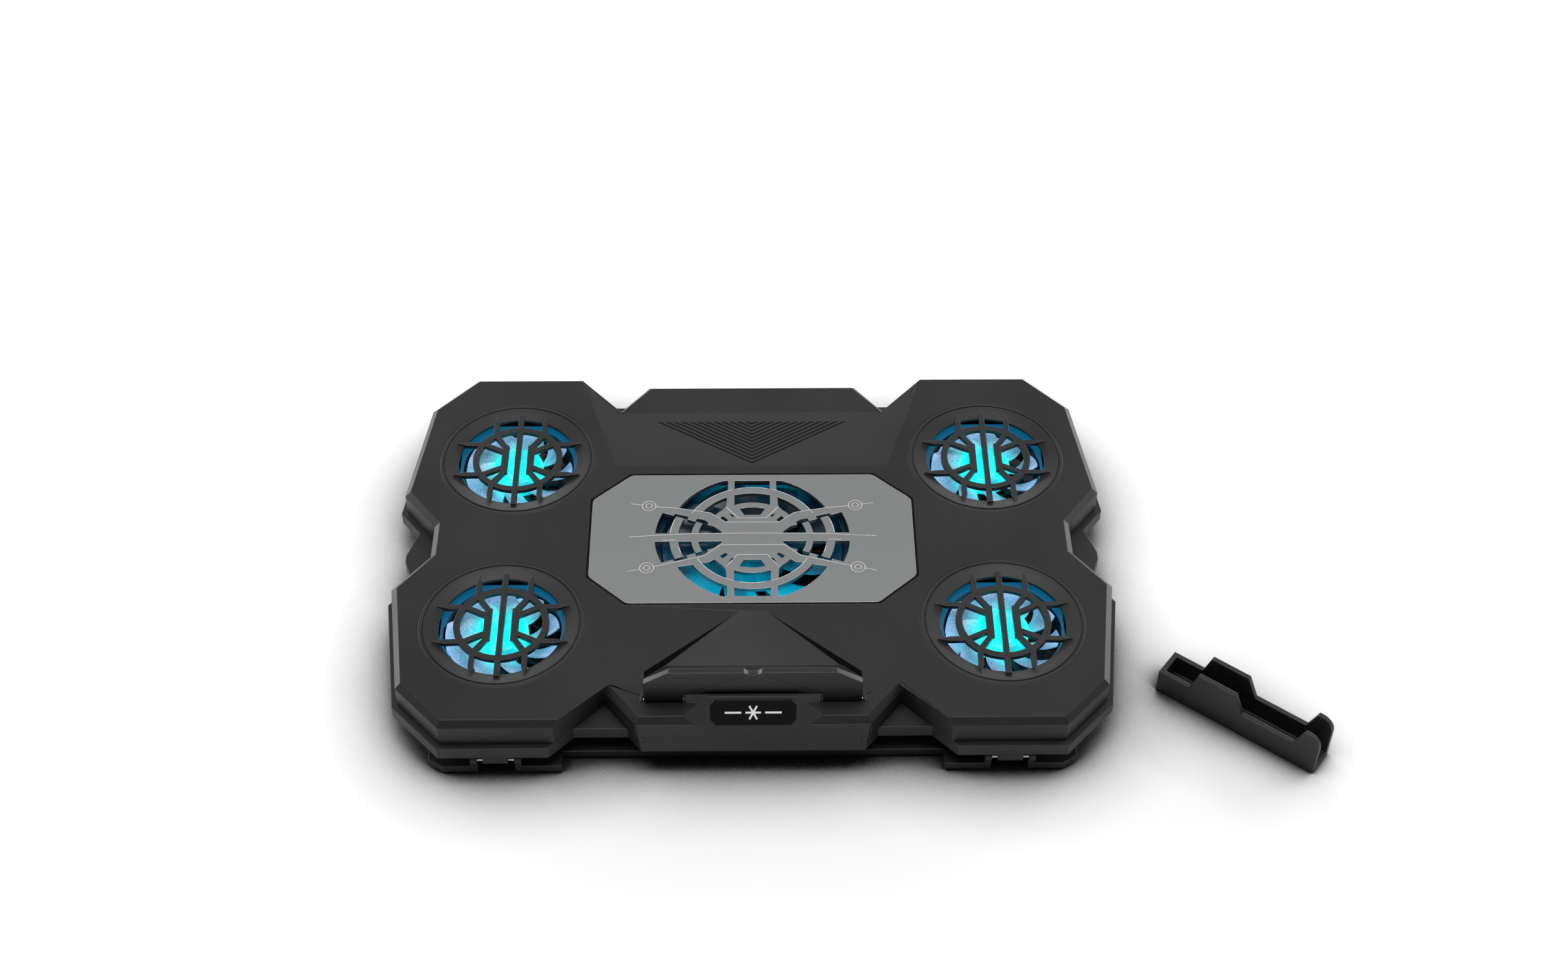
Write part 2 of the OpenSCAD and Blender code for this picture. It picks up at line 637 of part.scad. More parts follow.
// Lower casing
module intake_2d(r, rings) {
    difference() {
        circle(r);
        for (k = [1 : rings]) ring_2d(r * k / (rings + 1) - 1, r * k / (rings + 1) + 1);
        for (a = [0 : 30 : 150]) rotate(a) square([2 * r, 2.2], center = true);
        circle(r / (rings + 1));
    }
}
module bottom_shell() color("#1c1c1d") difference() {
    union() {
        difference() {
            slab(lower_outline, under_z, split_z);
            translate([0, 0, floor_z]) linear_extrude(pad_t) intersection() {
                polygon(inner_line);
                square([pad_w, 2 * (shelf_y - wall)], center = true);
            }
        }
        // Seats under the fans' corners
        for (i = [0 : 4]) translate(fan_pos[i]) each_quarter() translate([fan_screw_at(i), fan_screw_at(i), floor_z - eps])
            cylinder(h = fan_z - floor_z + eps, r = 3.2);
        each_side() for (y = [-7, 7]) translate([board_half.x - 4, board_y + y, floor_z - eps])
            cylinder(h = board_z - floor_z + eps, r = 2.4);
        // Knuckles of the front hinges
        each_side() knuckle(pod_x - knuckle_half, pod_x + knuckle_half, knuckle_r, front_axis_y);
        // Ears of the prop's pivot
        each_side() for (x = [arm_x - ear_gap - 4, arm_x + arm_w + ear_gap]) knuckle(x, x + 4, 3.6, prop_y);
    }
    for (i = [0 : 4]) translate(fan_pos[i]) {
        translate([0, 0, under_z - 1]) linear_extrude(wall + 2) intake_2d(i < 4 ? small_duct_r - 1 : big_duct_r - 1, i < 4 ? 3 : 5);
        each_quarter() translate([fan_screw_at(i), fan_screw_at(i), under_z + 0.8]) cylinder(h = 6, r = fan_screw_r + thread_gap);
    }
    for (p = boss_pos) each_quarter() translate([p.x, p.y, under_z - 1]) {
        cylinder(h = 6, r = shell_screw_r + 0.2);
        cylinder(h = 2.2, r = 3.1);
    }
    each_side() for (y = [-7, 7]) translate([board_half.x - 4, board_y + y, under_z + 0.8]) cylinder(h = 6, r = 1 + thread_gap);
    // Room for the sockets and the thumbwheel's control over the rear wall
    block(port_x[0] - port_size.x / 2 - 1, wheel_x + 6, shelf_y - wall - 1, shelf_y + 1, port_z - 0.3, split_z + 1);
    each_side() rod_x(pod_x - 20, pod_x + 20, front_axis_y, axis_z, hinge_pin_r + run_gap);
    each_side() rod_x(arm_x - 10, arm_x + 20, prop_y, axis_z, prop_rod_r + 0.01);
}
function fan_screw_at(i) = i < 4 ? small_screw : big_screw;
// A hinge barrel hanging below the floor
module knuckle(x0, x1, r, y) {
    rod_x(x0, x1, y, axis_z, r);
    block(x0, x1, y - r * 0.8, y + r, axis_z, under_z + 1);
}
module rest_bumpers() color("#141414") each_side()
    translate([rail_out - 12, base_rear - 8, base_z + fit_gap]) cylinder(h = under_z - base_z - fit_gap, r = 6);

// Fans
module fan_frame(i) color("#3c4a50") translate([fan_pos[i].x, fan_pos[i].y, fan_z]) {
    duct = i < 4 ? small_duct_r : big_duct_r;
    hub = (i < 4 ? small_hub_r : big_hub_r) - 1;
    at = fan_screw_at(i);
    difference() {
        union() {
            linear_extrude(fan_h) difference() {
                union() {
                    if (i < 4) rounded_square_2d(fan_w, 4);
                    else circle(big_fan_r);
                }
                circle(duct);
            }
            if (i == 4) linear_extrude(3) difference() {
                each_quarter() bar_2d([duct, duct] / sqrt(2) * 1.02, [at, at], 7.6);
                circle(duct);
            }
            if (i == 4) each_quarter() translate([at, at, 0]) cylinder(h = 3, r = 4.5);
            cylinder(h = 2.5, r = hub);
            for (a = [20 : 90 : 290]) rotate(a) translate([0, -1.5, 0]) cube([duct + 1, 3, 2.5]);
        }
        translate([0, 0, -1]) cylinder(h = 10, r = bush_r + 0.01);
        each_quarter() translate([at, at, -1]) cylinder(h = fan_h + 2, r = fan_screw_r + 0.2);
        for (a = [0 : 90 : 270]) rotate(a) translate([hub * 0.72, 0, 1.2]) cylinder(h = 5, r = 1.55);
    }
}
module rounded_square_2d(w, r) {
    h = w / 2 - r;
    square([w, 2 * h], center = true);
    square([2 * h, w], center = true);
    each_quarter() translate([h, h]) circle(r);
}
module fan_bushes() color("#b08a4a") for (p = fan_pos) translate([p.x, p.y, fan_z]) difference() {
    cylinder(h = 9, r = bush_r);
    translate([0, 0, -1]) cylinder(h = 12, r = shaft_r + run_gap);
}
module hub_leds() color("cyan") for (i = [0 : 4]) translate([fan_pos[i].x, fan_pos[i].y, fan_z])
    for (a = [0 : 90 : 270]) rotate(a) translate([((i < 4 ? small_hub_r : big_hub_r) - 1) * 0.72, 0, 1.2])
        cylinder(h = 2.1, r = 1.5);
module motor_stator(i) color("#7d4a2c") translate([fan_pos[i].x, fan_pos[i].y, fan_z + 3.6]) {
    r = (i < 4 ? small_hub_r : big_hub_r) - 4;
    linear_extrude(5) difference() {
        union() {
            circle(bush_r + 2.2);
            for (a = [0, 90]) rotate(a) square([2 * r - 2, 4], center = true);
            for (a = [0 : 90 : 270]) rotate(a) intersection() {
                ring_2d(r - 2, r);
                polygon([[0, 0], [2 * r, r * 1.1], [2 * r, -r * 1.1]]);
            }
        }
        circle(bush_r + 0.02);
    }
}
module rotor(i) color("#9fd4e6") translate([fan_pos[i].x, fan_pos[i].y, fan_z]) {
    duct = i < 4 ? small_duct_r : big_duct_r;
    hub = i < 4 ? small_hub_r : big_hub_r;
    tip = duct - blade_gap;
    difference() {
        translate([0, 0, 4]) cylinder(h = fan_h - 5, r = hub);
        translate([0, 0, 3]) cylinder(h = fan_h - 6.5, r = hub - 1.8);
    }
    translate([0, 0, 1]) cylinder(h = fan_h - 3.5, r = shaft_r);
    intersection() {
        translate([0, 0, 4]) linear_extrude(fan_h - 6) ring_2d(hub - 0.6, tip);
        for (k = [0 : blades - 1]) rotate(360 * k / blades) translate([hub - 1, 0, fan_h / 2 + 0.5]) rotate([38, 0, 0])
            translate([0, -12, -0.7]) cube([tip, 24, 1.4]);
    }
}
module screw(r, length, head_r, head_h) {
    cylinder(h = length, r = r);
    translate([0, 0, length]) cylinder(h = head_h, r = head_r);
}
module fan_screws() color("#6d7074") for (i = [0 : 4]) translate(fan_pos[i]) each_quarter() {
    grip = i < 4 ? fan_h : 3;
    translate([fan_screw_at(i), fan_screw_at(i), under_z + 0.9])
        screw(fan_screw_r, fan_z - under_z - 0.9 + grip, 2.5, 1.6);
}
module shell_screws() color("#55585c") for (p = boss_pos) each_quarter()
    translate([p.x, p.y, floor_z + 9]) mirror([0, 0, 1]) screw(shell_screw_r, floor_z + 9 - under_z - 1.2, 2.8, 1);

// Electronics behind the centre fan
module control_board() color("#1e6b3a") {
    difference() {
        block(-board_half.x, board_half.x, board_y - board_half.y, board_y + board_half.y, board_z, board_z + board_t);
        each_side() for (y = [-7, 7]) translate([board_half.x - 4, board_y + y, board_z - 1]) cylinder(h = 4, r = 1.2);
    }
    block(-12, -2, board_y - 9, board_y - 3, board_z + board_t, board_z + board_t + 1.8);
    block(6, 13, board_y - 10, board_y - 4, board_z + board_t, board_z + board_t + 3.2);
    // Switch behind the light button
    block(button_x - 3, button_x + 3, board_y + 8.5, board_y + 12.5, board_z + board_t, button_z + 2);
}
module board_screws() color("#a9acb0") each_side() for (y = [-7, 7])
    translate([board_half.x - 4, board_y + y, under_z + 0.9])
        screw(1, board_z + board_t - under_z - 0.9, 1.9, 1.1);
module usb_sockets() color("#b9bcc0") for (x = port_x) difference() {
    block(x - port_size.x / 2, x + port_size.x / 2, port_back - port_size.y, port_back, port_z, port_z + port_size.z);
    block(x - port_size.x / 2 + 0.5, x + port_size.x / 2 - 0.5, port_back - port_size.y + 2, port_back + 1,
          port_z + 0.5, port_z + port_size.z - 0.5);
}
module light_button() color("#303134") {
    block(button_x - 3.5, button_x + 3.5, skirt_y - 8, skirt_y - 0.2, button_z - 2.5, button_z + 2.5);
    block(button_x - 1.5, button_x + 1.5, board_y + 14.2, skirt_y - 8 + eps, button_z - 1.5, button_z + 1.5);
}
module speed_control() color("#3d4043") difference() {
    block(wheel_x - 5, wheel_x + 5, wheel_y - 6, wheel_y + 4, port_z, wheel_z - 0.2);
    translate([wheel_x, wheel_y, port_z - 1]) cylinder(h = 4, r = 2 + run_gap);
}
module speed_wheel() color("#2b2c2e") translate([wheel_x, wheel_y, wheel_z]) difference() {
    union() {
        cylinder(h = wheel_t, r = wheel_r);
        translate([0, 0, port_z + 0.2 - wheel_z]) cylinder(h = 3, r = 2);
    }
    for (a = [0 : 15 : 345]) rotate(a) translate([wheel_r + 0.5, 0, -1]) cylinder(h = wheel_t + 2, r = 0.9);
}
// Fan leads, clipped along the floor inside the lower casing
module wiring() color("#c23b30") {
    z = board_z + 0.8;
    run = [pod_x - fan_w / 2 - 6, board_y - 10];
    lead_r = 1.2;
    each_side() {
        rod_x(board_half.x, run.x, run.y, z, lead_r);
        translate([run.x, run.y, z]) sphere(lead_r);
        translate([run.x, -pod_y, z]) rotate([-90, 0, 0]) cylinder(h = run.y + pod_y, r = lead_r);
        translate([run.x, -pod_y, z]) sphere(lead_r);
        for (y = [-pod_y, pod_y]) rod_x(run.x, pod_x - fan_w / 2, y, z, lead_r);
    }
    translate([0, big_fan_r, z]) rotate([-90, 0, 0]) cylinder(h = board_y - board_half.y - big_fan_r, r = lead_r);
}

// Stand
module base_plan_2d() {
    difference() {
        union() {
            each_side() {
                polygon([[pod_x - 36, base_front], [pod_x + 29.5, base_front], [pod_x + 38, base_front + 5],
                         [pod_x + 38, base_front + 28], [pod_x - 36, base_front + 28]]);
                translate([rail_in, base_front + 10]) square([rail_out - rail_in, base_rear - base_front - 10]);
            }
            translate([-pod_x, base_front + 10]) square([2 * pod_x, 18]);
            // Middle bar with its own foot, so that the frame doesn't sag under the pad
            translate([-rail_in, -11]) square([2 * rail_in, 22]);
            translate([-(pod_x - 30), base_rear - 16]) square([2 * (pod_x - 30), 16]);
        }
        // Room for the pad's hinge knuckles
        each_side() translate([pod_x - arm_in, base_front - 1]) square([2 * arm_in, 9]);
    }
}
// Stepped rack that takes the prop's foot at four tilts; its top follows the foot's path
module rack() {
    stops = [6, 9, 12, 15, 18];
    path = [for (t = [8 : 1 : 18]) foot_at(t)];
    low = sleeve_r + 0.5;
    rotate([90, 0, 90]) linear_extrude(rack_out - rack_in) difference() {
        polygon(concat([[path[0].x, base_z - 1]],
            [for (p = path) [p.x, p.y - low]],
            [[path[10].x + 8, path[10].y - low + 1.5], [path[10].x + 12, base_z - 1]]));
        for (t = stops) translate(foot_at(t) - [0, 1.4]) circle(sleeve_r);
    }
}
module base_frame() color("#191919") difference() {
    union() {
        translate([0, 0, foot_gap]) linear_extrude(base_t) base_plan_2d();
        each_side() translate([rack_in, 0, 0]) rack();
        each_side() for (x = [pod_x - arm_out, pod_x + arm_in]) {
            rod_x(x, x + arm_out - arm_in, front_axis_y, axis_z, knuckle_r);
            block(x, x + arm_out - arm_in, front_axis_y - 0.5, front_axis_y + 8, base_z - 1, axis_z);
            block(x, x + arm_out - arm_in, front_axis_y, front_axis_y + knuckle_r, axis_z - 1, axis_z + 0.5);
        }
    }
    each_side() rod_x(pod_x - 20, pod_x + 20, front_axis_y, axis_z, hinge_pin_r + 0.01);
    each_foot() translate([0, 0, foot_gap - 1]) cylinder(h = 1.8, r = 8.1);
}
module each_foot() {
    for (p = foot_pos) each_side() translate(p) children();
    children();
}
module base_feet() color("#111111") each_foot() cylinder(h = foot_gap + 0.8, r = 8);
module hinge_pins() color("#9a9da1") each_side()
    rod_x(pod_x - arm_out, pod_x + arm_out, front_axis_y, axis_z, hinge_pin_r);
module prop() color("#202021") difference() {
    union() {
        each_side() {
            block(arm_x, arm_x + arm_w, foot_y, prop_y, axis_z - 3, axis_z + 3);
            rod_x(arm_x, arm_x + arm_w, prop_y, axis_z, 3);
            rod_x(arm_x, arm_x + arm_w, foot_y, axis_z, 3);
        }
        rod_x(-arm_x - 1, arm_x + 1, foot_y, axis_z, foot_r);
    }
    each_side() rod_x(arm_x - 2, arm_x + arm_w + 2, prop_y, axis_z, prop_rod_r + run_gap);
}
module prop_rod() color("#a4a7ab") each_side()
    rod_x(arm_x - ear_gap - 4, arm_x + arm_w + ear_gap + 4, prop_y, axis_z, prop_rod_r);
module prop_sleeves() color("#131313") each_side() difference() {
    rod_x(rack_in - 1, rack_out + 1, foot_y, axis_z, sleeve_r);
    rod_x(rack_in - 2, rack_out + 2, foot_y, axis_z, foot_r + 0.01);
}

// Phone cradle, lying on the table beside the pad
module phone_holder() color("#1d1d1e") translate(cradle_at) rotate(cradle_turn) {
    l = cradle_l;
    lip_r = 8;
    side = concat(
        [[0, 0], [l, 0]], arc([l - lip_r, cradle_high - lip_r], lip_r, 0, 90, 8),
        [[0.9 * l, cradle_high], [0.85 * l, cradle_low], [0.53 * l, cradle_low], [0.47 * l, cradle_high],
         [0.235 * l, cradle_high], [0.195 * l, cradle_low], [0, cradle_low]]);
    difference() {
        rotate([90, 0, 0]) translate([0, 0, -cradle_w]) linear_extrude(cradle_w) polygon(side);
        translate([cradle_wall, cradle_wall, cradle_wall]) cube([l, cradle_w - 2 * cradle_wall, 2 * cradle_high]);
    }
}

top_shell();
bottom_shell();
centre_plate();
plate_trim();
badge_block();
badge();
badge_mark();
stopper();
stopper_pins();
control_board();
usb_sockets();
light_button();
speed_wheel();
speed_control();
wiring();
hub_leds();
fan_bushes();
fan_screws();
shell_screws();
board_screws();
base_frame();
base_feet();
hinge_pins();
prop();
prop_rod();
prop_sleeves();
rest_bumpers();
phone_holder();
for (i = [0 : 3]) fan_cover(i);
for (i = [0 : 4]) fan_frame(i);
for (i = [0 : 4]) rotor(i);
for (i = [0 : 4]) motor_stator(i);
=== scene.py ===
# %% [markdown]
# A laptop cooling pad with five fans, modelled piece by piece round a fixed CAD frame.
#
# Every cell makes one piece or one finish. The CAD model brings the exact places and sizes, so
# nothing here is fitted by eye: a piece is either a CAD part with a better finish, a CAD part
# copied and given its fine rounded edges, or a new shape where the CAD part is only a stand-in,
# as with the fan blades. Lengths are metres, X points right, Y to the rear and Z up.

# %% Load the frame
import json
import math

import bmesh
import bpy
from mathutils import Matrix, Vector


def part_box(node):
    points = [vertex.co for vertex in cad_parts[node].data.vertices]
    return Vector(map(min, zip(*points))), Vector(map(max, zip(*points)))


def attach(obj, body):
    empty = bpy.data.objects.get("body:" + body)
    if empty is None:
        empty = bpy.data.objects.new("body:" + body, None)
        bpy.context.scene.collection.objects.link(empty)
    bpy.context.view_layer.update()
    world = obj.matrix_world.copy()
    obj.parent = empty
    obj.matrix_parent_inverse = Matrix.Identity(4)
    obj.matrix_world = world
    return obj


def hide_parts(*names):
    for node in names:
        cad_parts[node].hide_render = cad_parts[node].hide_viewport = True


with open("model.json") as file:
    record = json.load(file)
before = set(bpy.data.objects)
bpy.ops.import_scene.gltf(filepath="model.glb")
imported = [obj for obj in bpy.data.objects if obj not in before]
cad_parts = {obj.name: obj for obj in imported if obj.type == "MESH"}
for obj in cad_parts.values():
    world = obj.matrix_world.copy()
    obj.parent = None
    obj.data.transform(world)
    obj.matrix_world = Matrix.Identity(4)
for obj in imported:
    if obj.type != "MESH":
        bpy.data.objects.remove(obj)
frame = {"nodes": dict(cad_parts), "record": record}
nodes = frame["nodes"]
body_of_node = {n: b for b, group in frame["record"]["behaviour"]["bodies"].items() for n in group}
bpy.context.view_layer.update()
MM = 0.001

# %% [markdown]
# The camera stands in front of the pad and looks down at it at about 45 degrees, as a product
# picture does. It is placed by its three axes, so that a small turn and roll come with it.

# %% Camera
scene = bpy.context.scene
CAMERA_AT = Vector((0.00015, -0.8966, 0.9886))
CAMERA_RIGHT = Vector((0.99989, -0.01339, 0.00668))
CAMERA_FORWARD = Vector((0.01417, 0.70228, -0.71176))
camera_data = bpy.data.cameras.new("camera")
camera_data.sensor_width = 36
camera_data.lens = 51.25
camera_data.clip_start = 0.02
camera_data.clip_end = 50
camera = bpy.data.objects.new("camera", camera_data)
scene.collection.objects.link(camera)
back = -CAMERA_FORWARD.normalized()
up = back.cross(CAMERA_RIGHT).normalized()
right = up.cross(back)
camera.matrix_world = Matrix.Translation(CAMERA_AT) @ Matrix((right, up, back)).transposed().to_4x4()
scene.camera = camera
scene.view_settings.view_transform = "Standard"
print("camera tilt", round(math.degrees(math.asin(CAMERA_FORWARD.z)), 2))

# %% [markdown]
# The floor is a plain pale sheet, large enough to fill the picture. It glows a little, so that it
# stays white away from the pad. Where the pad stands close over it, its colour is darkened: a
# painted contact shadow, which gives the deep soft shadow at its foot.

# %% Floor
def flat_sheet(name, half, z):
    bm = bmesh.new()
    bmesh.ops.create_grid(bm, x_segments=1, y_segments=1, size=half)
    bmesh.ops.translate(bm, vec=(0, 0, z), verts=bm.verts)
    mesh = bpy.data.meshes.new(name)
    bm.to_mesh(mesh)
    bm.free()
    sheet = bpy.data.objects.new(name, mesh)
    scene.collection.objects.link(sheet)
    return sheet


FLOOR_HALF = 6.0
FLOOR_Z = -0.0002                  # just under the feet
CONTACT_REACH = 0.055              # how near a surface has to be to darken the floor
floor = flat_sheet("floor", FLOOR_HALF, FLOOR_Z)
floor_finish = bpy.data.materials.new("pale_floor")
floor_finish.use_nodes = True
floor_shader = floor_finish.node_tree.nodes["Principled BSDF"]
floor_shader.inputs["Base Color"].default_value = (0.9, 0.9, 0.9, 1)
floor_shader.inputs["Roughness"].default_value = 0.6
floor_shader.inputs["Emission Color"].default_value = (1, 1, 1, 1)
floor_shader.inputs["Emission Strength"].default_value = 0.2
# Painted contact shadow: occlusion darkens the floor's colour and glow close under the pad.
contact = floor_finish.node_tree.nodes.new("ShaderNodeAmbientOcclusion")
contact.inputs["Distance"].default_value = CONTACT_REACH
contact.samples = 8
painted_contact_shadow = floor_finish.node_tree.nodes.new("ShaderNodeValToRGB")
painted_contact_shadow.color_ramp.elements[0].position = 0.5
painted_contact_shadow.color_ramp.elements[0].color = (0.0, 0.0, 0.0, 1)
painted_contact_shadow.color_ramp.elements[1].position = 0.97
painted_contact_shadow.color_ramp.elements[1].color = (0.9, 0.9, 0.9, 1)
floor_finish.node_tree.links.new(contact.outputs["AO"], painted_contact_shadow.inputs["Fac"])
for socket in ("Base Color", "Emission Color"):
    floor_finish.node_tree.links.new(painted_contact_shadow.outputs["Color"], floor_shader.inputs[socket])
floor.data.materials.append(floor_finish)
print("floor", [round(d, 2) for d in floor.dimensions])

# %% [markdown]
# Soft studio light: a dim grey sky, one broad panel overhead, and a low panel on each side a
# little to the rear. The low panels are what the side bevels mirror, so those edges come out
# pale while the flat top and the front stay near black.

# %% Lights
def light_panel(name, place, target, width, height, power):
    data = bpy.data.lights.new(name, "AREA")
    data.shape = "RECTANGLE"
    data.size, data.size_y = width, height
    data.energy = power
    lamp = bpy.data.objects.new(name, data)
    lamp.location = place
    lamp.rotation_euler = (Vector(target) - Vector(place)).to_track_quat("-Z", "Y").to_euler()
    scene.collection.objects.link(lamp)
    return lamp


world = bpy.data.worlds.new("studio")
world.use_nodes = True
world.node_tree.nodes["Background"].inputs["Color"].default_value = (1, 1, 1, 1)
world.node_tree.nodes["Background"].inputs["Strength"].default_value = 0.38
scene.world = world
PAD_MIDDLE = (0, 0, 0.03)
light_panel("overhead", (0, -0.1, 1.9), (0, 0, 0), 1.6, 1.2, 20)
light_panel("side_left", (-1.3, 0.9, 0.32), PAD_MIDDLE, 1.2, 0.55, 15)
light_panel("side_right", (1.3, 0.9, 0.32), PAD_MIDDLE, 1.2, 0.55, 15)
light_panel("rear_strip", (0, 1.5, 0.35), PAD_MIDDLE, 1.4, 0.2, 5)

# %% [markdown]
# Finishes are built from a few helpers. Each starts from the standard surface shader, and its
# patterns read Object coordinates, so that they stay fixed to the piece when it moves.

# %% Finish helpers
def new_finish(name, colour, roughness, **sockets):
    finish = bpy.data.materials.new(name)
    finish.use_nodes = True
    shader = finish.node_tree.nodes["Principled BSDF"]
    shader.inputs["Base Color"].default_value = (*colour, 1)
    shader.inputs["Roughness"].default_value = roughness
    for socket, value in sockets.items():
        shader.inputs[socket.replace("_", " ")].default_value = value
    return finish


def place_pattern(finish, centre=(0, 0, 0)):
    """Object coordinates, moved so that the pattern's centre is at the given place."""
    tree = finish.node_tree
    where = tree.nodes.new("ShaderNodeTexCoord")
    mapping = tree.nodes.new("ShaderNodeMapping")
    mapping.inputs["Location"].default_value = [-c for c in centre]
    tree.links.new(where.outputs["Object"], mapping.inputs["Vector"])
    return mapping.outputs["Vector"]


def grain(finish, at, size, detail=2.0):
    """A noise whose lumps are about the given size."""
    noise = finish.node_tree.nodes.new("ShaderNodeTexNoise")
    noise.inputs["Scale"].default_value = 1 / size
    noise.inputs["Detail"].default_value = detail
    finish.node_tree.links.new(at, noise.inputs["Vector"])
    return noise.outputs["Fac"]


def colour_ramp(finish, value, stops):
    ramp = finish.node_tree.nodes.new("ShaderNodeValToRGB")
    elements = ramp.color_ramp.elements
    while len(elements) < len(stops):
        elements.new(0.5)
    for element, (position, colour) in zip(elements, stops):
        element.position = position
        element.color = (*colour, 1)
    finish.node_tree.links.new(value, ramp.inputs["Fac"])
    return ramp.outputs["Color"]


def spread(finish, value, low, high):
    """Maps a noise to a range of numbers."""
    mapped = finish.node_tree.nodes.new("ShaderNodeMapRange")
    mapped.inputs["From Min"].default_value = 0.3
    mapped.inputs["From Max"].default_value = 0.7
    mapped.inputs["To Min"].default_value = low
    mapped.inputs["To Max"].default_value = high
    finish.node_tree.links.new(value, mapped.inputs["Value"])
    return mapped.outputs["Result"]


def multiplied(finish, colour, tint, amount=1.0):
    """One colour multiplied by another, by the given amount."""
    mix = finish.node_tree.nodes.new("ShaderNodeMix")
    mix.data_type = "RGBA"
    mix.blend_type = "MULTIPLY"
    mix.inputs["Factor"].default_value = amount
    finish.node_tree.links.new(colour, mix.inputs[6])
    finish.node_tree.links.new(tint, mix.inputs[7])
    return mix.outputs[2]


def raise_grain(finish, value, height, strength=1.0):
    bump = finish.node_tree.nodes.new("ShaderNodeBump")
    bump.inputs["Strength"].default_value = strength
    bump.inputs["Distance"].default_value = height
    finish.node_tree.links.new(value, bump.inputs["Height"])
    connect(finish, bump.outputs["Normal"], "Normal")


def connect(finish, output, socket):
    shader = finish.node_tree.nodes["Principled BSDF"]
    finish.node_tree.links.new(output, shader.inputs[socket])


print("helpers ready")

# %% [markdown]
# The casing is moulded black plastic with a fine spark-eroded grain. Two noises make it: a fine
# one for the grain, which lightens and darkens the colour in specks and lifts the surface by a
# hundredth of a millimetre, and a broad one that shifts the sheen slowly over a hand's width.
# The corner fans' frames also carry painted blue lamp light at the top of the duct, as emission over the
# heights in DUCT_Z.

# %% Moulded plastic
DUCT_Z = (29 * MM, 34.5 * MM)
BROAD_PATCH = 60 * MM


def moulded_plastic(name, dark, light, roughness, speck=0.45 * MM, lift=0.012 * MM, specular=0.5):
    finish = new_finish(name, dark, roughness)
    finish.node_tree.nodes["Principled BSDF"].inputs["Specular IOR Level"].default_value = specular
    at = place_pattern(finish)
    fine = grain(finish, at, speck)
    connect(finish, colour_ramp(finish, fine, [(0.34, dark), (0.66, light)]), "Base Color")
    broad = grain(finish, at, BROAD_PATCH, 1.0)
    connect(finish, spread(finish, broad, roughness - 0.05, roughness + 0.05), "Roughness")
    raise_grain(finish, fine, lift)
    return finish


def grey(value):
    return (value, value, value * 1.03)


shell_plastic = moulded_plastic("shell_plastic", grey(0.0015), grey(0.0085), 0.46, specular=0.42)
seat_plastic = moulded_plastic("seat_plastic", grey(0.012), grey(0.02), 0.4)
lower_plastic = moulded_plastic("lower_plastic", grey(0.003), grey(0.008), 0.5)
cover_plastic = moulded_plastic("cover_plastic", grey(0.005), grey(0.012), 0.42)
stopper_plastic = moulded_plastic("stopper_plastic", grey(0.003), grey(0.008), 0.44)
stand_plastic = moulded_plastic("stand_plastic", grey(0.002), grey(0.005), 0.5, 0.6 * MM)
cradle_plastic = moulded_plastic("cradle_plastic", grey(0.003), grey(0.007), 0.5)
wheel_plastic = moulded_plastic("wheel_plastic", grey(0.012), grey(0.02), 0.55)
button_plastic = moulded_plastic("button_plastic", grey(0.03), grey(0.045), 0.4)
frame_plastic = moulded_plastic("fan_frame_plastic", (0.004, 0.010, 0.014), (0.008, 0.02, 0.03), 0.35)
height = frame_plastic.node_tree.nodes.new("ShaderNodeSeparateXYZ")
frame_plastic.node_tree.links.new(place_pattern(frame_plastic), height.inputs["Vector"])
lift_up = frame_plastic.node_tree.nodes.new("ShaderNodeMapRange")
lift_up.inputs["From Min"].default_value = DUCT_Z[0]
lift_up.inputs["From Max"].default_value = DUCT_Z[1]
frame_plastic.node_tree.links.new(height.outputs["Z"], lift_up.inputs["Value"])
# Painted light from the fan lamps: an emission colour that rises towards the top of the duct.
painted_rim_light = [
    (0.0, (0.0, 0.0, 0.0)), (0.66, (0.0, 0.002, 0.004)), (0.76, (0.0, 0.05, 0.11)), (1.0, (0.0, 0.09, 0.19))]
connect(frame_plastic, colour_ramp(frame_plastic, lift_up.outputs["Result"], painted_rim_light), "Emission Color")
frame_plastic.node_tree.nodes["Principled BSDF"].inputs["Emission Strength"].default_value = 1.0
centre_frame = moulded_plastic("centre_frame_plastic", (0.002, 0.004, 0.006), (0.004, 0.009, 0.013), 0.35)
rubber = moulded_plastic("rubber", grey(0.012), grey(0.02), 0.85, 0.9 * MM, 0.03 * MM, 0.3)
print("plastics", [m.name for m in bpy.data.materials if "plastic" in m.name])

# %% [markdown]
# The plate is aluminium, bead-blasted and anodised: metallic, fairly rough, and full of tiny sparks.
# Its engraved lines are bare metal with a near-white finish that paints in their highlight. The small
# fixings are plated steel, brass and copper, each with faint scratches or mottling in the roughness.

# %% Metals
def blasted_metal(name, dark, light, roughness, speck=0.5 * MM, lift=0.02 * MM):
    finish = new_finish(name, dark, roughness, Metallic=1.0)
    at = place_pattern(finish)
    fine = grain(finish, at, speck, 3.0)
    connect(finish, colour_ramp(finish, fine, [(0.3, dark), (0.7, light)]), "Base Color")
    connect(finish, spread(finish, fine, roughness + 0.08, roughness - 0.08), "Roughness")
    raise_grain(finish, fine, lift)
    return finish


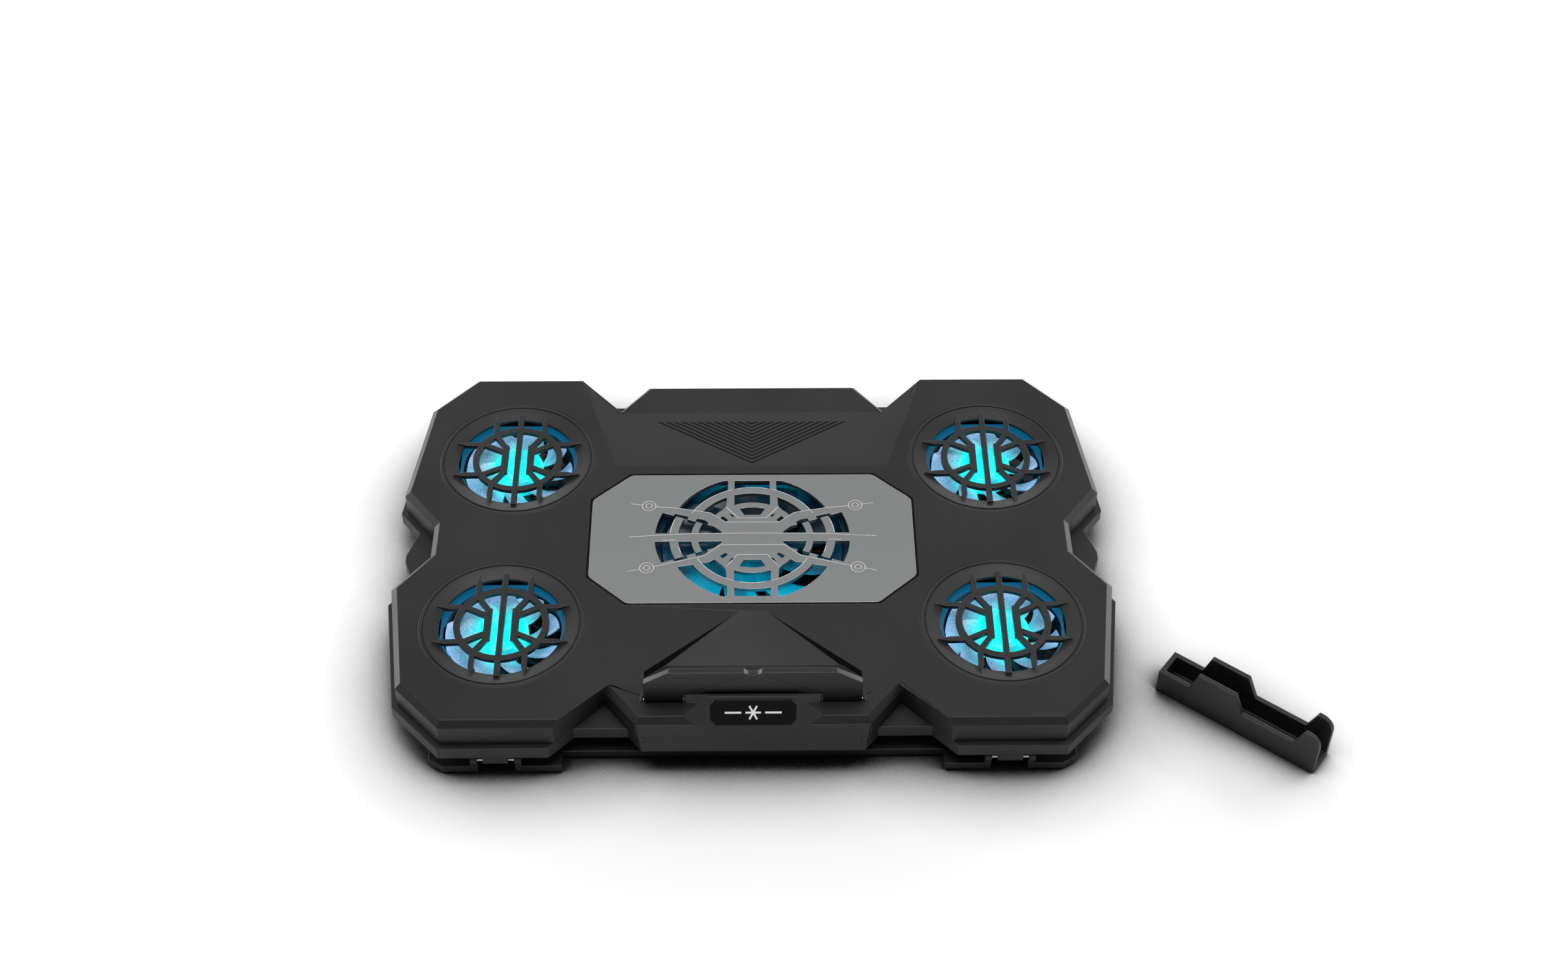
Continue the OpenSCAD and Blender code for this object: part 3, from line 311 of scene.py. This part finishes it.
plate_metal = blasted_metal("plate_metal", (0.25, 0.255, 0.26), (0.44, 0.445, 0.45), 0.42)
# The engraved lines' finish is near-white and mostly diffuse: a painted highlight that keeps them bright under
# any light.
cut_with_painted_highlight = blasted_metal("cut_with_painted_highlight", (0.7, 0.7, 0.71), (0.85, 0.85, 0.85), 0.5, 1.5 * MM, 0.002 * MM)
cut_with_painted_highlight.node_tree.nodes["Principled BSDF"].inputs["Metallic"].default_value = 0.15
steel = blasted_metal("plated_steel", (0.42, 0.43, 0.45), (0.58, 0.59, 0.61), 0.3, 2 * MM, 0.003 * MM)
brass = blasted_metal("brass", (0.55, 0.36, 0.14), (0.68, 0.47, 0.2), 0.35, 2 * MM, 0.003 * MM)
copper = blasted_metal("copper_winding", (0.42, 0.13, 0.05), (0.62, 0.24, 0.1), 0.38, 0.7 * MM, 0.05 * MM)
print("metals", plate_metal.name, cut_with_painted_highlight.name)

# %% [markdown]
# The badge is a glossy black insert with a plain white mark, and the rim round the plate shares
# its gloss. The board, its wires and the tiny
# lamps are seen only through the openings, and still get a finish of their own.

# %% Small finishes
gloss_black = new_finish("gloss_black", grey(0.002), 0.1, Specular_IOR_Level=0.22)
smear = grain(gloss_black, place_pattern(gloss_black), 12 * MM)
connect(gloss_black, spread(gloss_black, smear, 0.06, 0.16), "Roughness")
white_print = new_finish("white_print", (0.86, 0.86, 0.86), 0.5)
chalk = grain(white_print, place_pattern(white_print), 0.4 * MM)
connect(white_print, colour_ramp(white_print, chalk, [(0.3, (0.78,) * 3), (0.7, (0.92,) * 3)]), "Base Color")
BOARD_COLOURS = [(0.48, (0.006, 0.06, 0.025)), (0.52, (0.02, 0.15, 0.07))]
board_green = new_finish("board_green", (0.01, 0.09, 0.04), 0.35)
tracks = grain(board_green, place_pattern(board_green), 3 * MM, 0.0)
connect(board_green, colour_ramp(board_green, tracks, BOARD_COLOURS), "Base Color")
wire_red = new_finish("wire_red", (0.35, 0.02, 0.015), 0.45)
ripple = grain(wire_red, place_pattern(wire_red), 5 * MM)
connect(wire_red, spread(wire_red, ripple, 0.35, 0.55), "Roughness")
lamp_glow = new_finish("lamp_glow", (0.2, 0.9, 1.0), 0.3,
                       Emission_Color=(0.0, 0.85, 1.0, 1), Emission_Strength=14.0)
flicker = grain(lamp_glow, place_pattern(lamp_glow), 1.5 * MM)
connect(lamp_glow, spread(lamp_glow, flicker, 0.2, 0.4), "Roughness")
print("small finishes", 5)

# %% [markdown]
# The CAD parts are exact but razor-edged. A real moulding has a small radius on every edge, and
# that radius is what catches the light. A CAD part is never changed, so a copy of its mesh is
# merged, and each of its edges that turns by more than the limit is rounded. The copy then
# stands for the CAD part.

# %% Rounded copies
MERGE_DISTANCE = 0.002 * MM


def finish_piece(bm, name, finishes, body, replaced=(), smooth=True):
    mesh = bpy.data.meshes.new(name)
    bm.to_mesh(mesh)
    bm.free()
    for finish in finishes:
        mesh.materials.append(finish)
    if smooth:
        mesh.shade_smooth()
    piece = bpy.data.objects.new(name, mesh)
    scene.collection.objects.link(piece)
    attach(piece, body)
    if replaced:
        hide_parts(*replaced)
    return piece


def merged_copy(node):
    bm = bmesh.new()
    bm.from_mesh(nodes[node].data)
    bmesh.ops.remove_doubles(bm, verts=bm.verts, dist=MERGE_DISTANCE)
    for face in bm.faces:
        face.material_index = 0
    return bm


def sharpen(bm, angle):
    """Marks the edges that turn by more than the angle as sharp, so that flats shade flat."""
    for edge in bm.edges:
        if len(edge.link_faces) == 2:
            edge.smooth = edge.calc_face_angle(0) < math.radians(angle)


def round_edges(bm, width, angle, segments=2):
    turning = [e for e in bm.edges if len(e.link_faces) == 2 and e.calc_face_angle(0) > math.radians(angle)]
    bmesh.ops.bevel(bm, geom=turning, offset=width, offset_type="OFFSET", segments=segments, profile=0.5,
                    affect="EDGES", clamp_overlap=False, material=-1, miter_outer="ARC")


def rounded_copy(node, name, finish, width=0.3 * MM, angle=25, flat=12):
    bm = merged_copy(node)
    edges = len(bm.edges)
    round_edges(bm, width, angle)
    sharpen(bm, flat)
    print(name, edges, "edges before,", len(bm.edges), "after")
    return finish_piece(bm, name, [finish], body_of_node[node], [node])


rounded_copy("top_shell", "top_casing", shell_plastic, 0.3 * MM, flat=3.2)
rounded_copy("bottom_shell", "lower_casing", lower_plastic, 0.35 * MM, flat=5)
rounded_copy("badge_block", "badge_seat", seat_plastic, 0.25 * MM, 15, 3.2)
rounded_copy("stopper", "front_stopper", stopper_plastic, 0.45 * MM)
rounded_copy("phone_holder", "phone_cradle", cradle_plastic, 0.4 * MM, 35, 14)
rounded_copy("base_frame", "stand_base", stand_plastic, 0.3 * MM)
rounded_copy("prop", "prop_bar", stand_plastic, 0.4 * MM)
rounded_copy("plate_trim", "plate_rim", gloss_black, 0.25 * MM)
rounded_copy("centre_plate", "silver_plate", plate_metal, 0.15 * MM, 40)
rounded_copy("badge", "badge_insert", gloss_black, 0.12 * MM)
for corner in ("front_left", "front_right", "rear_left", "rear_right"):
    cover = "fan_cover_" + corner
    rounded_copy(cover, cover + "_moulded", cover_plastic, 0.2 * MM, 32)

# %% [markdown]
# The remaining CAD parts have the right shape already and only get their finishes.

# %% Finishes for the CAD parts that stay
CARRIED = {
    "badge_mark": white_print, "stopper_pins": steel, "control_board": board_green, "usb_sockets": steel,
    "light_button": button_plastic, "speed_wheel": wheel_plastic, "speed_control": stand_plastic,
    "wiring": wire_red, "hub_leds": lamp_glow, "fan_bushes": brass, "fan_screws": steel,
    "shell_screws": steel, "board_screws": steel, "base_feet": rubber, "hinge_pins": steel,
    "prop_rod": steel, "prop_sleeves": rubber, "rest_bumpers": rubber}
for fan in ("front_left", "front_right", "rear_left", "rear_right", "centre"):
    CARRIED["fan_frame_" + fan] = centre_frame if fan == "centre" else frame_plastic
    CARRIED["motor_stator_" + fan] = copper
for node, finish in CARRIED.items():
    nodes[node].data.materials.clear()
    nodes[node].data.materials.append(finish)
print("carried parts", len(CARRIED))

# %% [markdown]
# Each fan's rotor is one moulding in translucent pale plastic: a flat-topped hub with a rounded
# rim, and nine wide blades that lean and curve back as they reach the duct. The CAD rotor has
# flat blades, so a new one is made: the hub is a profile spun round the axis, and one blade is a
# grid whose points are wrapped round the axis, given a thickness and then spun into nine.

# %% Rotor finish
# Painted lamp light on the centre rotor, from the front of the pad (0) to the rear (1)
CENTRE_PAINTED_LIGHT = [(0.0, (0.0, 1.1, 1.6)), (0.2, (0.0, 0.55, 0.85)), (0.42, (0.0, 0.05, 0.1)),
                (0.75, (0.0, 0.004, 0.008)), (1.0, (0.0, 0.03, 0.06))]
# Painted lamp light on the centre fan's duct, from the front of the pad (0) to the rear (1)
CENTRE_DUCT_PAINTED_LIGHT = [(0.0, (0.0, 0.4, 0.62)), (0.12, (0.0, 0.22, 0.36)), (0.3, (0.0, 0.01, 0.02)),
                     (0.85, (0.0, 0.004, 0.01)), (1.0, (0.0, 0.12, 0.2))]
CENTRE_REACH = 58 * MM


def painted_front_light(finish, at, reach, stops):
    """Colour by how far towards the front of the pad a point lies: 0 at the front, 1 at the rear."""
    tree = finish.node_tree
    split = tree.nodes.new("ShaderNodeSeparateXYZ")
    tree.links.new(at, split.inputs["Vector"])
    share = tree.nodes.new("ShaderNodeMapRange")
    share.inputs["From Min"].default_value = -reach
    share.inputs["From Max"].default_value = reach
    tree.links.new(split.outputs["Y"], share.inputs["Value"])
    return colour_ramp(finish, share.outputs["Result"], stops)


def painted_light_plastic(name, centre, hub_r, tip_r, deep, pale, core, glow):
    """Speckled plastic with painted lamp light: an emission brightest over the lamps and fading to the blade
    tips.
    """
    finish = new_finish(name, pale, 0.3, Specular_IOR_Level=0.6)
    tree = finish.node_tree
    at = place_pattern(finish, centre)
    flat = tree.nodes.new("ShaderNodeVectorMath")
    flat.operation = "MULTIPLY"
    flat.inputs[1].default_value = (1, 1, 0)
    tree.links.new(at, flat.inputs[0])
    reach = tree.nodes.new("ShaderNodeVectorMath")
    reach.operation = "LENGTH"
    tree.links.new(flat.outputs["Vector"], reach.inputs[0])
    along = tree.nodes.new("ShaderNodeMapRange")
    along.inputs["From Max"].default_value = tip_r
    tree.links.new(reach.outputs["Value"], along.inputs["Value"])
    speck = grain(finish, at, 0.55 * MM, 3.0)
    specks = colour_ramp(finish, speck, [(0.32, deep), (0.68, pale)])
    edge = hub_r / tip_r
    # The hub's base colour is darkened and tinted with the lamp colour, as part of the painted lamp light.
    hub_tint = [(edge * 0.8, tuple(0.25 * c for c in core)), (edge * 1.3, (1, 1, 1))]
    body_colour = multiplied(finish, specks, colour_ramp(finish, along.outputs["Result"], hub_tint))
    connect(finish, body_colour, "Base Color")
    # The emission is painted lamp light: on the centre rotor brightest towards the front of the pad, on the
    # corner rotors brightest over the hub.
    if name.endswith("centre"):
        light, speck_amount = painted_front_light(finish, at, tip_r, CENTRE_PAINTED_LIGHT), 0.8
    else:
        light = colour_ramp(finish, along.outputs["Result"], [
            (0.0, core), (edge * 0.86, core), (edge * 1.05, tuple(0.42 * c for c in core)),
            (0.74, (0.05, 0.17 * core[1], 0.24 * core[2])), (1.0, (0.09, 0.2 * core[1], 0.34 * core[2]))])
        speck_amount = 0.55
    # Broad patches and the specks break up the painted lamp light.
    patch = grain(finish, at, 16 * MM, 0.0)
    patches = colour_ramp(finish, patch, [(0.35, (0.55, 0.55, 0.6)), (0.62, (1.3, 1.3, 1.3))])
    sparks = colour_ramp(finish, speck, [(0.36, (0.35, 0.4, 0.45)), (0.64, (1.25, 1.25, 1.25))])
    lit = multiplied(finish, multiplied(finish, light, patches), sparks, speck_amount)
    connect(finish, lit, "Emission Color")
    tree.nodes["Principled BSDF"].inputs["Emission Strength"].default_value = glow
    raise_grain(finish, speck, 0.02 * MM)
    return finish


# Painted lamp light on the centre fan's frame: emission brightest at the front of the duct.
painted_duct_light = painted_front_light(centre_frame, place_pattern(centre_frame), CENTRE_REACH, CENTRE_DUCT_PAINTED_LIGHT)
connect(centre_frame, painted_duct_light, "Emission Color")
centre_frame.node_tree.nodes["Principled BSDF"].inputs["Emission Strength"].default_value = 1.0

# %% Rotors
BLADE_COUNT = 9
BLADE_THICKNESS = 1.1 * MM
BLADE_GAP = 1.2 * MM
# Darker and lighter speck of the centre rotor's plastic, and of the corner rotors'
DARK_SPECKS = ((0.002, 0.006, 0.010), (0.01, 0.03, 0.05))
PALE_SPECKS = ((0.05, 0.13, 0.24), (0.42, 0.55, 0.68))


def turn_all(bm, angle, centre, verts=None):
    bmesh.ops.rotate(bm, cent=centre, matrix=Matrix.Rotation(angle, 3, "Z"), verts=verts or bm.verts[:])


def hub_shape(hub_r, base, top):
    """Profile of the hub spun round the axis, with a rounded shoulder and a shallow dish."""
    bm = bmesh.new()
    shoulder, dish, wall, roof = 1.3 * MM, 0.35 * MM, 1.6 * MM, 3.4 * MM
    profile = [(0.0, top - dish), (hub_r * 0.72, top - dish), (hub_r * 0.76, top)]
    profile += [(hub_r - shoulder + shoulder * math.sin(a), top - shoulder + shoulder * math.cos(a))
                for a in (math.radians(d) for d in (0, 22, 45, 68, 90))]
    profile += [(hub_r, base), (hub_r - wall, base), (hub_r - wall, top - roof), (0.0, top - roof)]
    points = [bm.verts.new((r, 0, z)) for r, z in profile]
    for a, b in zip(points, points[1:]):
        bm.edges.new((a, b))
    bmesh.ops.spin(bm, geom=bm.verts[:] + bm.edges[:], cent=(0, 0, 0), axis=(0, 0, 1),
                   angle=math.tau, steps=64, use_merge=True)
    bmesh.ops.remove_doubles(bm, verts=bm.verts, dist=0.004 * MM)
    bmesh.ops.recalc_face_normals(bm, faces=bm.faces)
    return bm


def blade_shape(bm, hub_r, tip_r, base, top):
    """One curved blade from hub to tip, thickened, then copied round the hub."""
    before = set(bm.verts)
    bmesh.ops.create_grid(bm, x_segments=10, y_segments=8, size=0.5)
    blade = [v for v in bm.verts if v not in before]
    for v in blade:
        out, across = v.co.x + 0.5, v.co.y
        r = hub_r - 0.5 * MM + out * (tip_r - hub_r + 0.5 * MM)
        sweep = math.radians(24) * out ** 1.4
        chord = math.radians(37 - 4 * out)
        camber = 0.9 * MM * (1 - 4 * across * across)
        pitch = (top - base) * (0.98 - 0.2 * out)
        angle = sweep + across * chord
        v.co = Vector((r * math.cos(angle), r * math.sin(angle), (top + base) / 2 - across * pitch + camber))
    faces = {f for v in blade for f in v.link_faces}
    bmesh.ops.solidify(bm, geom=list(faces), thickness=BLADE_THICKNESS)
    blade = [v for v in bm.verts if v not in before]
    geometry = blade + list({e for v in blade for e in v.link_edges})
    geometry += list({f for v in blade for f in v.link_faces})
    bmesh.ops.spin(bm, geom=geometry, cent=(0, 0, 0), axis=(0, 0, 1),
                   angle=math.tau * (BLADE_COUNT - 1) / BLADE_COUNT, steps=BLADE_COUNT - 1, use_duplicate=True)


def make_rotor(fan, hub_r, duct_r, start, core, glow):
    low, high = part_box("rotor_" + fan)
    frame_low, frame_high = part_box("fan_frame_" + fan)
    centre = (frame_low + frame_high) / 2
    centre.z = 0
    base, top = low.z + 3.2 * MM, high.z + 0.9 * MM
    tip_r = duct_r - BLADE_GAP
    bm = hub_shape(hub_r, base, top + 0.6 * MM)
    blade_shape(bm, hub_r, tip_r, base + 1.2 * MM, top - 0.3 * MM)
    turn_all(bm, start, (0, 0, 0))
    bmesh.ops.translate(bm, vec=centre, verts=bm.verts)
    bmesh.ops.recalc_face_normals(bm, faces=bm.faces)
    sharpen(bm, 40)
    deep, pale = DARK_SPECKS if fan == "centre" else PALE_SPECKS
    finish = painted_light_plastic("painted_light_plastic_" + fan, centre, hub_r, tip_r, deep, pale, core, glow)
    return finish_piece(bm, "impeller_" + fan, [finish], "rotor_" + fan, ["rotor_" + fan])


CYAN = (0.0, 1.0, 1.0)
for number, fan in enumerate(("front_left", "front_right", "rear_left", "rear_right")):
    impeller = make_rotor(fan, 15 * MM, 33.5 * MM, math.radians(11 * number), CYAN, 1.6)
    print(impeller.name, len(impeller.data.polygons), "faces")
impeller = make_rotor("centre", 21 * MM, 54 * MM, 0.2, (0.0, 0.28, 0.5), 0.5)
print(impeller.name, len(impeller.data.polygons), "faces")

# %% [markdown]
# The plate carries fine engraved lines that run on from the grille's bars, with a small double
# ring where each outer line starts. They are cut through the finish, and their near-white, mostly
# diffuse finish paints in the highlight the cuts catch, so they read as thin bright threads. Each is
# a thin round thread laid a little more than half into the plate.

# %% Engraved lines
plate_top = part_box("centre_plate")[1].z
LINE_R = 0.17 * MM
LINE_SINK = 0.04 * MM              # the threads' axes lie this far under the plate's face
LINE_ARC_R = 40.6                  # radii of the outer and inner arcs, in millimetres
INNER_ARC_R = 36.1
both_lines = [
    [(-71.9, 0.5), (-40, 2.6), (0, 3.2), (40, 2.6), (71.9, 0.5)],
    [(-15.3, -24.1), (-8.8, -14.1), (8.8, -14.1), (15.3, -24.1)],
    [(-15.3, 24.4), (-8.2, 15.4), (8.2, 15.4), (15.3, 24.4)],
]
side_lines = [
    [(71.8, 27.4), (65.0, 26.3)], [(57.1, 25.0), (43.4, 23.5), (24.7, 19.7), (15.6, 12.0), (0, 12.0)],
    [(71.8, -26.8), (64.9, -25.2)], [(57.2, -23.3), (44.3, -19.5), (27.9, -14.8), (18.6, -6.3), (0, -6.3)],
    [(44.5, -2.2), (52, -2.2)],
]
RING_PULL = 7.6


def arc_points(radius, start, end, shift=0.0, count=16):
    steps = [math.radians(start + (end - start) * k / count) for k in range(count + 1)]
    return [(shift + radius * math.cos(a), radius * math.sin(a)) for a in steps]


both_lines += [arc_points(LINE_ARC_R, start, end) for start, end in ((152, 107), (103, 77), (73, 28))]
both_lines += [arc_points(INNER_ARC_R, start, end) for start, end in ((208, 253), (258, 282), (287, 332))]
side_lines += [arc_points(LINE_ARC_R, 4.8, 21, RING_PULL), arc_points(INNER_ARC_R, -12, -20, RING_PULL)]
rings = [((61, 25.6), 4.0), ((61, 25.6), 1.9), ((61, -24.2), 4.0), ((61, -24.2), 1.9)]


def thread(points, closed=False):
    curve = bpy.data.curves.new("thread", "CURVE")
    curve.dimensions = "3D"
    curve.bevel_depth = LINE_R
    curve.bevel_resolution = 1
    curve.use_fill_caps = not closed
    spline = curve.splines.new("POLY")
    spline.points.add(len(points) - 1)
    spline.use_cyclic_u = closed
    for point, (x, y) in zip(spline.points, points):
        point.co = (x * MM, y * MM, plate_top - LINE_SINK, 1)
    return curve


def circle_points(centre, radius, count=28):
    turns = [math.tau * k / count for k in range(count)]
    return [(centre[0] + radius * math.cos(a), centre[1] + radius * math.sin(a)) for a in turns]


threads = [thread(line) for line in both_lines]
for side in (1, -1):
    threads += [thread([(side * x, y) for x, y in line]) for line in side_lines]
    threads += [thread(circle_points((side * c[0], c[1]), r), True) for c, r in rings]
bm = bmesh.new()
for curve in threads:
    holder = bpy.data.objects.new("thread", curve)
    scene.collection.objects.link(holder)
    mesh = holder.to_mesh()
    bm.from_mesh(mesh)
    holder.to_mesh_clear()
    bpy.data.objects.remove(holder)
bmesh.ops.remove_doubles(bm, verts=bm.verts, dist=MERGE_DISTANCE)
bmesh.ops.recalc_face_normals(bm, faces=bm.faces)
plate_lines = finish_piece(bm, "plate_lines", [cut_with_painted_highlight], "pad")
print("engraved lines", len(threads), "faces", len(plate_lines.data.polygons))

# %% [markdown]
# A socket shell in the CAD model is empty. Each real one has a tongue in it, so a small rounded
# slab goes in both.

# %% Socket tongues
sockets_low, sockets_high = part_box("usb_sockets")
TONGUE_SIZE = (11 * MM, 9.5 * MM, 1.7 * MM)
TONGUE_BACK = 6.6 * MM             # from the sockets' mouth to the tongue's middle
TONGUE_LIFT = 0.9 * MM
for name, x in (("left", -26 * MM), ("right", -9 * MM)):
    bm = bmesh.new()
    bmesh.ops.create_cube(bm, size=1)
    bmesh.ops.scale(bm, vec=TONGUE_SIZE, verts=bm.verts)
    bmesh.ops.bevel(bm, geom=bm.edges[:], offset=0.25 * MM, offset_type="OFFSET", segments=2, profile=0.5,
                    affect="EDGES", material=-1)
    height = (sockets_low.z + sockets_high.z) / 2 + TONGUE_LIFT
    middle = Vector((x, sockets_high.y - TONGUE_BACK, height))
    bmesh.ops.translate(bm, vec=middle, verts=bm.verts)
    finish_piece(bm, "socket_tongue_" + name, [button_plastic], "pad", smooth=False)
print("tongues at", round(sockets_high.y, 4))
